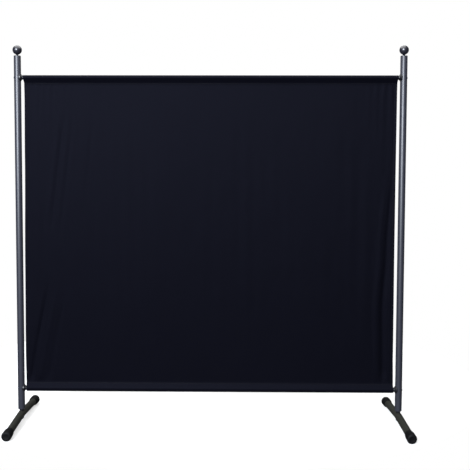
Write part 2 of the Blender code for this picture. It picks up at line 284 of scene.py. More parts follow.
def woven_polyester(name, base):
    """Plain-woven polyester, one thread over and one under, in a dull near-black dye.

    The cloth's own threads are about 0.4 mm apart; the weave is drawn at 1.2 mm so that it shows.
    Its shine is stretched one way by the threads, and slubs run down it as faint streaks.
    """
    thread_gap = 0.0012
    made, tree, shader = new_material(
        name, Roughness=0.62, IOR=1.45, Specular_IOR_Level=0.054, Anisotropic=0.5,
        Specular_Tint=linear("#CDD2F6"), Sheen_Weight=0.004, Sheen_Roughness=0.45,
    )
    if tree is None:
        return made
    flat = add_node(tree, "ShaderNodeTexCoord").outputs["UV"]
    across = add_node(tree, "ShaderNodeTangent", direction_type="UV_MAP", uv_map=FLAT_CLOTH)
    tree.links.new(across.outputs["Tangent"], shader.inputs["Tangent"])
    split = add_node(tree, "ShaderNodeSeparateXYZ", {"Vector": flat})
    waves = []
    for axis in ("X", "Y"):
        turns = add_node(
            tree, "ShaderNodeMath", {0: split.outputs[axis], 1: math.pi / thread_gap},
            operation="MULTIPLY",
        )
        waves.append(add_node(tree, "ShaderNodeMath", {0: turns.outputs[0]}, operation="SINE"))
    crossing = add_node(
        tree, "ShaderNodeMath", {0: waves[0].outputs[0], 1: waves[1].outputs[0]},
        operation="MULTIPLY",
    )
    stretched = add_node(
        tree, "ShaderNodeMapping", {"Vector": flat, "Scale": (160, 9, 1)}, vector_type="POINT"
    )
    slubs = add_node(
        tree, "ShaderNodeTexNoise", {"Vector": stretched.outputs["Vector"], "Scale": 1, "Detail": 3}
    )
    broad = add_node(tree, "ShaderNodeTexNoise", {"Vector": flat, "Scale": 6, "Detail": 4})
    streaked = add_node(
        tree, "ShaderNodeMath", {0: slubs.outputs["Fac"], 1: 0.22, 2: 0.78},
        operation="MULTIPLY_ADD",
    )
    blotch = add_node(
        tree, "ShaderNodeMath", {0: broad.outputs["Fac"], 1: 0.18, 2: streaked.outputs[0]},
        operation="MULTIPLY_ADD",
    )
    raised = add_node(
        tree, "ShaderNodeMath", {0: crossing.outputs[0], 1: 0.12, 2: blotch.outputs[0]},
        operation="MULTIPLY_ADD",
    )
    tint = add_node(
        tree, "ShaderNodeHueSaturation", {"Color": base, "Value": raised.outputs[0]}
    )
    tree.links.new(tint.outputs["Color"], shader.inputs["Base Color"])
    height = add_node(
        tree, "ShaderNodeMath", {0: slubs.outputs["Fac"], 1: 0.6, 2: crossing.outputs[0]},
        operation="MULTIPLY_ADD",
    )
    bump = add_node(
        tree, "ShaderNodeBump",
        {"Strength": 0.45, "Distance": 0.0002, "Height": height.outputs[0]},
    )
    tree.links.new(bump.outputs["Normal"], shader.inputs["Normal"])
    return made


def twisted_thread(name, base):
    """Bonded polyester sewing thread: a touch shinier than the cloth it is sewn into."""
    made, tree, shader = new_material(name, Roughness=0.6, IOR=1.5, Specular_IOR_Level=0.15)
    if tree is None:
        return made
    place = add_node(tree, "ShaderNodeTexCoord").outputs["Object"]
    mottle(tree, shader, place, base, 0.2, 300)
    return made


def studio_floor(name, base):
    """A backlit sheet of opal acrylic, as studios use under a product to wash out its shadows."""
    made, tree, shader = new_material(
        name, Roughness=0.9, Specular_IOR_Level=0.1, Emission_Color=(1, 1, 1, 1),
        Emission_Strength=0.62,
    )
    if tree is None:
        return made
    place = add_node(tree, "ShaderNodeTexCoord").outputs["Object"]
    mottle(tree, shader, place, base, 0.01, 2)
    return made


def finishes(context):
    """Every finish of the screen, by its slot in the record."""
    hues = context.scene.screen_colours
    return {
        "post_coating": powder_coat("anthracite powder coat", hues.post, 0.45, 0.58, 0.06),
        "foot_coating": powder_coat("dark grey powder coat", hues.foot, 0.50, 0.2, 0.10),
        "finial_lacquer": lacquer("anthracite lacquer", hues.finial),
        "nylon_fittings": moulded("moulded nylon", hues.nylon, 0.40, 0.35, 0.0007),
        "rubber_caps": moulded("moulded rubber", hues.rubber, 0.66, 0.12, 0.0012),
        "fasteners": zinc_plate("zinc-plated steel", hues.steel),
        "panel_cloth": woven_polyester("woven polyester", hues.cloth),
        "thread": twisted_thread("sewing thread", hues.thread),
    }


# Meshes


def link(name, mesh):
    made = bpy.data.objects.new(name, mesh)
    bpy.context.scene.collection.objects.link(made)
    return made


def shade(mesh):
    mesh.shade_smooth()
    mesh.set_sharp_from_angle(angle=SMOOTH_ANGLE)


def bake(obj):
    """Replaces an object's mesh by what its modifiers make of it."""
    graph = bpy.context.evaluated_depsgraph_get()
    mesh = bpy.data.meshes.new_from_object(obj.evaluated_get(graph))
    obj.modifiers.clear()
    obj.data = mesh
    mesh.name = obj.name
    return obj


def turned(profile, sides=FINE, closed=False):
    """A mesh turned about Z from (radius, height) points."""
    shell = bmesh.new()
    points = [shell.verts.new((radius, 0, height)) for radius, height in profile]
    edges = [shell.edges.new(pair) for pair in zip(points, points[1:])]
    if closed:
        edges.append(shell.edges.new((points[-1], points[0])))
    bmesh.ops.spin(
        shell, geom=points + edges, cent=(0, 0, 0), axis=(0, 0, 1), angle=2 * math.pi, steps=sides
    )
    bmesh.ops.remove_doubles(shell, verts=shell.verts, dist=0.000001)
    bmesh.ops.recalc_face_normals(shell, faces=shell.faces)
    mesh = bpy.data.meshes.new("turned")
    shell.to_mesh(mesh)
    shell.free()
    return mesh


def ring(outer, inner, low, high):
    """Profile of a tube or washer."""
    return [(outer, high), (outer, low), (inner, low), (inner, high)]


def arc(centre, radius, start, end, steps):
    """Points on an arc in (radius, height), its angles in degrees from the outward direction."""
    angles = [math.radians(start + (end - start) * i / steps) for i in range(steps + 1)]
    return [(centre[0] + radius * math.cos(a), centre[1] + radius * math.sin(a)) for a in angles]


def rounded(obj, width, segments=3):
    bevel = obj.modifiers.new("Rounded edges", "BEVEL")
    bevel.width = width
    bevel.segments = segments
    bevel.limit_method = "ANGLE"
    bevel.angle_limit = SMOOTH_ANGLE
    bevel.use_clamp_overlap = True


def mend(mesh, merge=0, fill=False):
    """Points a mesh's faces outwards, after merging its doubles or filling its open ends."""
    shell = bmesh.new()
    shell.from_mesh(mesh)
    if merge:
        bmesh.ops.remove_doubles(shell, verts=shell.verts, dist=merge)
    if fill:
        bmesh.ops.holes_fill(shell, edges=[edge for edge in shell.edges if edge.is_boundary])
    bmesh.ops.recalc_face_normals(shell, faces=shell.faces)
    shell.to_mesh(mesh)
    shell.free()
    return mesh


def cut_away(obj, mesh):
    """Cuts the space of a closed mesh out of an object."""
    cutter = link("cutter", mesh)
    boolean = obj.modifiers.new("Cut", "BOOLEAN")
    boolean.object = cutter
    boolean.solver = "EXACT"
    bake(obj)
    bpy.data.objects.remove(cutter)


def finish_piece(obj, material, body, replaces=()):
    """Shades a piece, gives it its material and says what it rides on and stands for."""
    shade(obj.data)
    obj.data.materials.clear()
    obj.data.materials.append(material)
    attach(obj, body)
    if replaces:
        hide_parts(*replaces)
    return obj


def along_x(x, z, sign):
    """Lays a turned mesh on its side: its own +Z points along X, or along -X for sign -1."""
    return Matrix.Translation((x, 0, z)) @ Matrix.Rotation(sign * math.pi / 2, 4, "Y")


def swept(name, places, radius):
    """A round bar along a path as a welded mesh, without its end caps."""
    curve = bpy.data.curves.new(name, "CURVE")
    curve.dimensions = "3D"
    curve.bevel_depth = radius
    curve.bevel_resolution = 22
    spline = curve.splines.new("POLY")
    spline.points.add(len(places) - 1)
    for point, place in zip(spline.points, places):
        point.co = (*place, 1)
    guide = link(name, curve)
    graph = bpy.context.evaluated_depsgraph_get()
    mesh = bpy.data.meshes.new_from_object(guide.evaluated_get(graph))
    bpy.data.objects.remove(guide)
    return mend(mesh, merge=0.00001)


def foot_height(distance):
    """Height of a foot tube's axis at a distance along Y from the post's axis."""
    bend_end = FOOT_BEND_RADIUS * math.sin(FOOT_SLOPE)
    reach = min(abs(distance), bend_end)
    crown = FOOT_CREST - FOOT_BEND_RADIUS + math.sqrt(FOOT_BEND_RADIUS**2 - reach**2)
    return crown - math.tan(FOOT_SLOPE) * (abs(distance) - reach)


def blend_keys(keys, t):
    """A value at t, eased between (t, value) keys."""
    for (start, first), (end, last) in zip(keys, keys[1:]):
        if t <= end:
            share = max(0.0, (t - start) / (end - start))
            return first + (last - first) * share * share * (3 - 2 * share)
    return keys[-1][1]


# Pieces


class SCREEN_OT_tubes(bpy.types.Operator):
    """Make the posts and crossbars: round steel tube with softened cut ends"""

    bl_idname = "screen.tubes"
    bl_label = "Posts and Crossbars"

    def execute(self, context):
        sizes = context.scene.screen_sizes
        coat = finishes(context)["post_coating"]
        profile = ring(POST_RADIUS, POST_RADIUS - sizes.post_wall, POST_LOW, POST_HIGH)
        for side in SIDES:
            tube = link(f"{side}_post_tube", turned(profile, closed=True))
            rounded(tube, sizes.edge_round)
            bake(tube)
            tube.data.transform(Matrix.Translation((POST_X[side], 0, 0)))
            finish_piece(tube, coat, BODY, [f"post_{side}"])
        profile = ring(BAR_RADIUS, BAR_RADIUS - sizes.bar_wall, -BAR_HALF, BAR_HALF)
        for level in LEVELS:
            bar = link(f"{level}_crossbar_tube", turned(profile, MEDIUM, closed=True))
            rounded(bar, sizes.edge_round)
            bake(bar)
            bar.data.transform(along_x(0, BAR_Z[level], 1))
            finish_piece(bar, coat, BODY, [f"crossbar_{level}"])
        return {"FINISHED"}


NECK_RADIUS = 0.0032
STUD_RADIUS = 0.003
# Degrees from straight down at which the ball runs out into its neck.
NECK_LEAVES = 28
FLANGE_INSET = 0.0002
FLANGE_ROUND = 0.0012


def finial_profile(neck_foot):
    """A ball on a waisted neck that stands at a height, with its stud going down from there."""
    low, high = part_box("finial_left")
    ball = radius_of("finial_left")
    profile = arc((0, high.z - ball), ball, 90, NECK_LEAVES - 90, 40)
    last_radius, last_height = profile[-1]
    steps = 8
    for i in range(1, steps + 1):
        t = i / steps
        radius = NECK_RADIUS + (last_radius - NECK_RADIUS) * (1 - t) ** 2
        profile.append((radius, last_height + (neck_foot - last_height) * t))
    return profile + [(STUD_RADIUS, neck_foot), (STUD_RADIUS, low.z), (0, low.z)]


def plug_profile(sizes):
    """A post's top plug: a rounded flange on the tube's end, and a body inside it."""
    low, high = (corner.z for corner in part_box("post_plug_left"))
    flange = POST_RADIUS - FLANGE_INSET
    body = POST_RADIUS - sizes.post_wall - GAP
    hole = STUD_RADIUS + 0.0004
    crown = arc((flange - FLANGE_ROUND, high - FLANGE_ROUND), FLANGE_ROUND, 80, 0, 5)
    seat = POST_HIGH + GAP
    return [(hole, high)] + crown + [(flange, seat), (body, seat), (body, low), (hole, low)]


class SCREEN_OT_finials(bpy.types.Operator):
    """Make the ball finials with their waisted necks, and the plugs that hold them"""

    bl_idname = "screen.finials"
    bl_label = "Finials"

    def execute(self, context):
        looks = finishes(context)
        finial = finial_profile(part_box("post_plug_left")[1].z + GAP)
        plug = plug_profile(context.scene.screen_sizes)
        for side in SIDES:
            place = Matrix.Translation((POST_X[side], 0, 0))
            made = link(f"{side}_ball_finial", turned(finial))
            made.data.transform(place)
            finish_piece(made, looks["finial_lacquer"], BODY, [f"finial_{side}"])
            made = link(f"{side}_post_top_plug", turned(plug, closed=True))
            made.data.transform(place)
            finish_piece(made, looks["nylon_fittings"], BODY, [f"post_plug_{side}"])
        return {"FINISHED"}


# Along the crossbar, from the post's axis: where the saddle starts, where its flare ends, and its
# collar's start and end.
SADDLE_START = 0.0085
FLARE_END = 0.0159
COLLAR_START = 0.0232
COLLAR_END = 0.0250
SKIRT_RADIUS = 0.0171
COLLAR_RADIUS = 0.0100
SADDLE_BORE = 0.0034


def saddle_profile():
    """A saddle from its collar out to its skirt, turned about the crossbar's axis."""
    profile = [
        (COLLAR_RADIUS, COLLAR_END),
        (COLLAR_RADIUS, COLLAR_START + 0.0006),
        (COLLAR_RADIUS - 0.0005, COLLAR_START),
    ]
    steps = 12
    for i in range(1, steps + 1):
        t = i / steps
        radius = COLLAR_RADIUS + (SKIRT_RADIUS - COLLAR_RADIUS) * t**2
        profile.append((radius, COLLAR_START + (FLARE_END - COLLAR_START) * t))
    start = (SKIRT_RADIUS, SADDLE_START)
    return profile + [start, (SADDLE_BORE, SADDLE_START), (SADDLE_BORE, COLLAR_END)]


class SCREEN_OT_saddles(bpy.types.Operator):
    """Make the flared saddles that seat each crossbar's end against its round post"""

    bl_idname = "screen.saddles"
    bl_label = "Crossbar Saddles"

    def execute(self, context):
        sizes = context.scene.screen_sizes
        nylon = finishes(context)["nylon_fittings"]
        profile = saddle_profile()
        reach = SKIRT_RADIUS * 1.5
        beside = POST_RADIUS + GAP
        for side in SIDES:
            sign = 1 if side == "left" else -1
            for level in LEVELS:
                made = link(f"{level}_{side}_bar_saddle", turned(profile, closed=True))
                made.data.transform(along_x(POST_X[side], BAR_Z[level], sign))
                low, high = BAR_Z[level] - reach, BAR_Z[level] + reach
                cope = turned([(0, high), (beside, high), (beside, low), (0, low)])
                cope.transform(Matrix.Translation((POST_X[side], 0, 0)))
                cut_away(made, cope)
                rounded(made, sizes.edge_round, 2)
                bake(made)
                finish_piece(made, nylon, BODY, [f"saddle_{level}_{side}"])
        return {"FINISHED"}


BOLT_RADIUS = 0.003
KEY_RADIUS = 0.0023
# The straight rim of a bolt's head, under its dome.
HEAD_RIM = 0.0004


def socket_head_bolt(head_radius, head_height, reach):
    """A button-head bolt on Z, its head's underside at height 0 and its shank going down."""
    drop = head_radius * 0.55
    dome = arc((0, -drop), math.hypot(head_radius, drop), 90, 34, 8)
    top = max(height for _, height in dome)
    dome = [(radius, HEAD_RIM + height * (head_height - HEAD_RIM) / top) for radius, height in dome]
    dome[-1] = (head_radius, HEAD_RIM)
    shank = [(head_radius, 0), (BOLT_RADIUS, 0), (BOLT_RADIUS, -reach), (0, -reach)]
    bolt = link("bolt", turned(dome + shank, MEDIUM))
    key = bpy.data.meshes.new("key")
    shell = bmesh.new()
    bmesh.ops.create_cone(
        shell, cap_ends=True, segments=6, radius1=KEY_RADIUS, radius2=KEY_RADIUS,
        depth=head_height * 1.4,
    )
    bmesh.ops.translate(shell, verts=shell.verts, vec=(0, 0, head_height * 1.2))
    shell.to_mesh(key)
    shell.free()
    cut_away(bolt, key)
    return bolt


def new_tree(name, numbers, **others):
    """A Geometry Nodes tree with its named inputs, and its input node."""
    tree = bpy.data.node_groups.new(name, "GeometryNodeTree")
    for title, kind in others.items():
        tree.interface.new_socket(title, in_out="INPUT", socket_type=f"NodeSocket{kind}")
    for title in numbers:
        tree.interface.new_socket(title, in_out="INPUT", socket_type="NodeSocketFloat")
    tree.interface.new_socket("Finish", in_out="INPUT", socket_type="NodeSocketMaterial")
    tree.interface.new_socket("Pieces", in_out="OUTPUT", socket_type="NodeSocketGeometry")
    return tree, add_node(tree, "NodeGroupInput")


def end_tree(tree, given, placed):
    """Makes a tree's instances real, gives them their finish and sends them out."""
    real = add_node(tree, "GeometryNodeRealizeInstances", {"Geometry": placed.outputs["Instances"]})
    painted = add_node(
        tree, "GeometryNodeSetMaterial",
        {"Geometry": real.outputs["Geometry"], "Material": given.outputs["Finish"]},
    )
    add_node(tree, "NodeGroupOutput", {"Pieces": painted.outputs["Geometry"]})
    return tree


def bolt_tree():
    """A Geometry Nodes tree that puts one piece at every point, turned as the point says."""
    tree, given = new_tree("Bolts at the Posts", ["Scale"], Points="Geometry", Piece="Object")
    piece = add_node(tree, "GeometryNodeObjectInfo", {"Object": given.outputs["Piece"]})
    facing = add_node(
        tree, "GeometryNodeInputNamedAttribute", {"Name": "facing"}, data_type="FLOAT_VECTOR"
    )
    turn = add_node(
        tree, "FunctionNodeAlignRotationToVector",
        {"Vector": facing.outputs["Attribute"]}, axis="Z",
    )
    placed = add_node(
        tree, "GeometryNodeInstanceOnPoints",
        {"Points": given.outputs["Points"], "Instance": piece.outputs["Geometry"],
         "Rotation": turn.outputs["Rotation"], "Scale": given.outputs["Scale"]},
    )
    return end_tree(tree, given, placed)


def grow(name, guide, tree, settings):
    """Runs a Geometry Nodes tree on a guide mesh and returns the result as a plain object."""
    holder = link(name, guide)
    modifier = holder.modifiers.new(tree.name, "NODES")
    modifier.node_group = tree
    for item in tree.interface.items_tree:
        if item.name in settings:
            modifier[item.identifier] = settings[item.name]
    return bake(holder)


class SCREEN_OT_bolts(bpy.types.Operator):
    """Place a button-head bolt through each post at each crossbar, with Geometry Nodes"""

    bl_idname = "screen.bolts"
    bl_label = "Crossbar Bolts"

    def execute(self, context):
        sizes = context.scene.screen_sizes
        steel = finishes(context)["fasteners"]
        low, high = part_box("bar_bolt_top_left")
        seat = POST_RADIUS + GAP
        head_height = POST_X["left"] - seat - low.x
        reach = high.x - POST_X["left"] + seat
        bolt = socket_head_bolt(sizes.bolt_head / 2, head_height, reach)
        guide = bpy.data.meshes.new("bolt_points")
        spots = [(side, level) for side in SIDES for level in LEVELS]
        out = {"left": -1, "right": 1}
        guide.from_pydata(
            [(POST_X[side] + out[side] * seat, 0, BAR_Z[level]) for side, level in spots], [], []
        )
        facing = guide.attributes.new("facing", "FLOAT_VECTOR", "POINT")
        for item, (side, _) in zip(facing.data, spots):
            item.vector = (out[side], 0, 0)
        made = grow(
            "crossbar_bolts", guide, bolt_tree(),
            {"Piece": bolt, "Scale": 1.0, "Finish": steel},
        )
        bpy.data.objects.remove(bolt)
        nodes = [f"bar_bolt_{level}_{side}" for side, level in spots]
        finish_piece(made, steel, BODY, nodes)
        return {"FINISHED"}


# The panel

# Distance from a post's axis to the panel's side edge, at shares of the way down from the top seam
# to the bottom one. The sleeves lie above 0 and below 1.
EDGE_INSET = {
    "left": [
        (-0.018, 0.0265), (0, 0.0302), (0.04, 0.0310), (0.25, 0.0290), (0.6, 0.0245), (0.9, 0.0232),
        (1, 0.0250), (1.016, 0.0262),
    ],
    "right": [
        (-0.018, 0.0262), (0, 0.0284), (0.04, 0.0290), (0.5, 0.0302), (0.9, 0.0288), (1, 0.0270),
        (1.016, 0.0258),
    ],
}
PANEL_ROWS = 116

# The cloth's columns: how far in from an edge each stretch reaches, and the gap between its columns.
# They are closest at the hems, and closer where the folds are than in the middle.
LEFT_COLUMNS = ((0.030, 0.0016), (0.320, 0.0055))
RIGHT_COLUMNS = ((0.030, 0.0016), (0.120, 0.0042))
MIDDLE_GAP = 0.0105

# Folds as (distance in from the left edge at the top, how wide, how deep): valleys are positive.
UPPER_PLEATS = (
    (0.201, 0.010, 0.0036), (0.176, 0.009, -0.0018), (0.243, 0.011, 0.0022), (0.340, 0.012, 0.0012),
)
UPPER_LEAN = 0.164
LOWER_PLEATS = ((0.290, 0.010, 0.0056), (0.332, 0.012, -0.0026), (0.372, 0.013, 0.0022))
LOWER_LEAN = 0.27
# Faint waves all over it, as (waves' angle for each metre across, how it turns on the way down,
# the same and a start for the slow wave that it comes and goes with, how deep).
STREAKS = ((61, 3, 4.1, 1.0, 0.0006), (97, -2, 5.7, 2.0, 0.0005))

# The two rows of stitches at each sleeve, from its seam, and the hem's row, from the hem's fold.
SEAM_ROWS = (0.001, 0.0032)
HEM_SEAM_INSET = 0.003
# More columns than any hem is wide.
HEM_COLUMNS = 20

# How long the cloth is let hang, in steps, and the furthest that a point of it may move.
HANG_FRAMES = 14
MOST_DRIFT = 0.008


def column_shares():
    """Shares of the panel's width at which its columns of points stand."""
    width = 2 * POST_X["right"] - EDGE_INSET["left"][1][1] - EDGE_INSET["right"][1][1]
    sides = []
    for stretches in (LEFT_COLUMNS, RIGHT_COLUMNS):
        places = [0.0]
        for reach, gap in stretches:
            start = places[-1]
            count = round((reach - start) / gap)
            places += [start + (reach - start) * i / count for i in range(1, count + 1)]
        sides.append(places)
    left, right = sides
    start, end = left[-1], width - right[-1]
    count = round((end - start) / MIDDLE_GAP)
    middle_places = [start + (end - start) * i / count for i in range(1, count)]
    return [place / width for place in left + middle_places + [width - x for x in reversed(right)]]


SHARES = column_shares()
COLUMNS = len(SHARES) - 1


def sleeve_path(sizes, seam, slack):
    """Half of a sleeve's path round its bar, from the seam to the far side's middle.

    The points are (depth, height) with the bar's middle at the origin and the seam below it.
    """
    radius = BAR_RADIUS + GAP + sizes.cloth / 2
    leave = math.acos(radius / seam) - math.pi / 2

    def on_bar(angle, lift=0):
        return (radius * math.cos(angle), lift + radius * math.sin(angle))

    depth, height = on_bar(leave)
    path = [(depth * t, -seam + (height + seam) * t) for t in (0.25, 0.5, 0.75)]
    path += [on_bar(leave * t) for t in (1, 0.66, 0.33, 0)]
    if slack:
        path.append((radius, slack))
    steps = 8
    return path + [on_bar(math.pi / 2 * i / steps, slack) for i in range(1, steps + 1)]


def panel_section(sizes):
    """The cloth's path in (depth, height) from its back tail over the top bar to its bottom tail.

    Returns the points and the index of the row at each seam.
    """
    lap = sizes.cloth * 1.1
    top, bottom = BAR_Z["top"], BAR_Z["bottom"]
    top_seam, bottom_seam = top - sizes.top_seam, bottom + sizes.bottom_seam
    half = sleeve_path(sizes, sizes.top_seam, 0)
    tail = [(lap, top_seam - sizes.tail * (1 - i / 3)) for i in range(4)]
    back = [(max(depth, lap), top + height) for depth, height in half]
    front = [(-depth, top + height) for depth, height in reversed(half[:-1])]
    points = tail + back + front
    first = len(points)
    points += [
        (0, top_seam + (bottom_seam - top_seam) * i / PANEL_ROWS) for i in range(PANEL_ROWS + 1)
    ]
    last = len(points) - 1
    half = sleeve_path(sizes, sizes.bottom_seam, sizes.slack)
    points += [(-depth, bottom - height) for depth, height in half]
    points += [(max(depth, lap), bottom - height) for depth, height in reversed(half[:-1])]
    points += [(lap, bottom_seam + sizes.tail * i / 3) for i in range(4)]
    return points, first, last


def ridge(distance, width):
    """A soft rounded ridge or valley of unit depth across a distance from its middle."""
    return math.exp(-((distance / width) ** 2))


def fold_depth(from_left, from_right, down, hem):
    """How far the hanging cloth stands back from its plane, by the distance in from each side edge
    and the share of the way down."""
    # The stitching pinches a groove along the inside of each hem.
    depth = 0.0009 * ridge(min(from_left, from_right) - hem + 0.002, 0.0022)
    # The valley that runs down inside the right edge, wandering inwards as it goes.
    valley = blend_keys([(0.3, 0.016), (0.55, 0.034), (0.75, 0.050), (1, 0.046)], down)
    strength = blend_keys([(0.26, 0), (0.42, 0.7), (0.75, 1), (0.95, 0.9), (1, 0.1)], down)
    depth += 0.0090 * strength * ridge(from_right - valley, 0.010 + 0.006 * down)
    depth -= 0.0026 * strength * ridge(from_right - valley - 0.032, 0.015)
    # Slack gathered near the left edge: slanting pleats above, and a fan to the corner below.
    upper = blend_keys([(0.05, 0), (0.2, 1), (0.4, 0.8), (0.55, 0)], down)
    for place, width, size in UPPER_PLEATS:
        depth += size * upper * ridge(from_left - place + UPPER_LEAN * down, width)
    lower = blend_keys([(0.62, 0), (0.8, 1), (0.97, 0.9), (1, 0)], down)
    for place, width, size in LOWER_PLEATS:
        depth += size * lower * ridge(from_left - place + LOWER_LEAN * down, width)
    # Crimps left by the sleeve's seam, soon lost below it.
    crimp = blend_keys([(0, 0.3), (0.015, 1), (0.08, 0.5), (0.22, 0)], down)
    for inwards, reach, pitch, lean in ((from_left, 0.20, 0.031, 6), (from_right, 0.14, 0.034, -5)):
        wave = math.sin(inwards / pitch * 2 * math.pi + lean * down)
        depth += 0.0010 * crimp * ridge(inwards, reach) * wave
    # Broad waves of the hanging panel and faint upright streaks all over it.
    hang = math.sin(math.pi * min(max(down, 0), 1)) ** 0.5
    depth += 0.0016 * hang * math.sin(from_left * 7.3 + 0.6)
    depth += 0.0009 * hang * math.sin(from_left * 17.1 + 2 * down)
    for across, turning, slow, start, size in STREAKS:
        wave = math.sin(from_left * across + turning * down) * math.sin(from_left * slow + start)
        depth += size * hang * wave
    return depth


def panel_grid(sizes):
    """The cloth's mesh before it is let hang: a grid with the flat cloth's metres as its UV map."""
    section, first, last = panel_section(sizes)
    run = [0.0]
    for (depth_a, height_a), (depth_b, height_b) in zip(section, section[1:]):
        run.append(run[-1] + math.hypot(depth_b - depth_a, height_b - height_a))
    places, flat = [], []
    for row, (depth, height) in enumerate(section):
        down = (section[first][1] - height) / (section[first][1] - section[last][1])
        left = POST_X["left"] + blend_keys(EDGE_INSET["left"], down)
        right = POST_X["right"] - blend_keys(EDGE_INSET["right"], down)
        for share in SHARES:
            x = left + (right - left) * share
            hung = first < row < last
            fold = fold_depth(x - left, right - x, down, sizes.hem) if hung else 0
            places.append((x, depth + fold, height))
            flat.append((x, run[row]))
    width = COLUMNS + 1
    faces = [
        (r * width + c, (r + 1) * width + c, (r + 1) * width + c + 1, r * width + c + 1)
        for r in range(len(section) - 1)
        for c in range(COLUMNS)
    ]
    mesh = bpy.data.meshes.new("panel_cloth")
    mesh.from_pydata(places, [], faces)
    layer = mesh.uv_layers.new(name=FLAT_CLOTH)
    for loop in mesh.loops:
        layer.data[loop.index].uv = flat[loop.vertex_index]
    return mesh, first, last, run[-1]


def let_hang(cloth, first, last):
    """Lets the cloth between the seams hang under its own weight, held by its sleeves."""
    width = COLUMNS + 1
    held = cloth.vertex_groups.new(name="held by the sleeves")
    for vertex in cloth.data.vertices:
        row = vertex.index // width
        if row <= first or row >= last:
            held.add([vertex.index], 1.0, "REPLACE")
    before = [vertex.co.copy() for vertex in cloth.data.vertices]
    simulation = cloth.modifiers.new("Hanging", "CLOTH")
    settings = simulation.settings
    settings.quality = 6
    settings.mass = 0.002
    settings.tension_stiffness = 30
    settings.compression_stiffness = 30
    settings.shear_stiffness = 12
    settings.bending_stiffness = 1.5
    settings.air_damping = 2
    settings.vertex_group_mass = held.name
    simulation.collision_settings.use_collision = False
    simulation.collision_settings.use_self_collision = False
    simulation.point_cache.frame_start = 1
    simulation.point_cache.frame_end = HANG_FRAMES
    for step in range(1, HANG_FRAMES + 1):
        bpy.context.scene.frame_set(step)
    bake(cloth)
    for vertex, start in zip(cloth.data.vertices, before):
        move = vertex.co - start
        if move.length > MOST_DRIFT:
            vertex.co = start + move * (MOST_DRIFT / move.length)
    bpy.context.scene.frame_set(1)


def stitch_tree():
    """A Geometry Nodes tree that lays a run of stitches along every line of a guide mesh."""
    numbers = ["Pitch", "Stitch Length", "Thread"]
    tree, given = new_tree("Run of Stitches", numbers, Lines="Geometry")
    line = add_node(tree, "GeometryNodeMeshToCurve", {"Mesh": given.outputs["Lines"]})
    spaced = add_node(
        tree, "GeometryNodeResampleCurve",
        {"Curve": line.outputs["Curve"], "Length": given.outputs["Pitch"]}, mode="LENGTH",
    )
    along = add_node(tree, "GeometryNodeInputTangent")
    turn = add_node(
        tree, "FunctionNodeAlignRotationToVector", {"Vector": along.outputs["Tangent"]}, axis="Z"
    )
    loop = add_node(
        tree, "GeometryNodeMeshUVSphere", {"Segments": 5, "Rings": 4, "Radius": 0.5}
    )
    thick, long = given.outputs["Thread"], given.outputs["Stitch Length"]
    size = add_node(tree, "ShaderNodeCombineXYZ", {"X": thick, "Y": thick, "Z": long})
    placed = add_node(
        tree, "GeometryNodeInstanceOnPoints",
        {"Points": spaced.outputs["Curve"], "Instance": loop.outputs["Mesh"],
         "Rotation": turn.outputs["Rotation"], "Scale": size.outputs["Vector"]},
    )
    return end_tree(tree, given, placed)


def sleeve_seam(places, row, step, below):
    """A seam's line across the cloth, a distance from a row towards the next one."""
    width = COLUMNS + 1
    line = []
    for column in range(1, width - 1):
        here = places[row * width + column]
        beyond = places[(row + step) * width + column]
        line.append(here.lerp(beyond, below / max((beyond - here).length, 0.001)))
    return line


def hem_seam(places, side, rows, inset):
    """A hem's line of stitching down the cloth, a distance in from a side edge."""
    width = COLUMNS + 1
    inwards = 1 if side == 0 else -1
    line = []
    for row in rows:
        edge = outer = places[row * width + side]
        reach = 0
        for column in range(1, HEM_COLUMNS):
            inner = places[row * width + side + inwards * column]
            next_reach = abs(inner.x - edge.x)
            if next_reach >= inset:
                line.append(outer.lerp(inner, (inset - reach) / (next_reach - reach)))
                break
            outer, reach = inner, next_reach
    return line


def seam_lines(cloth, sizes, first, last):
    """Guide lines for the stitching, just proud of the cloth's front and back."""
    places = [vertex.co.copy() for vertex in cloth.data.vertices]
    points, edges = [], []

    def add_lines(line, front, back):
        for depth in (-front, back):
            start = len(points)
            points.extend(place + Vector((0, depth, 0)) for place in line)
            edges.extend((i, i + 1) for i in range(start, len(points) - 1))

    lift = sizes.cloth / 2 + sizes.thread * 0.2
    for row, step in ((first, 1), (last, -1)):
        for below in SEAM_ROWS:
            add_lines(sleeve_seam(places, row, step, below), lift, lift + sizes.cloth * 1.1)
    for side in (0, COLUMNS):
        line = hem_seam(places, side, range(first + 1, last), sizes.hem - HEM_SEAM_INSET)
        add_lines(line, lift + sizes.cloth / 2, lift + sizes.cloth / 2)
    guide = bpy.data.meshes.new("seam_lines")
    guide.from_pydata(points, edges, [])
    return guide


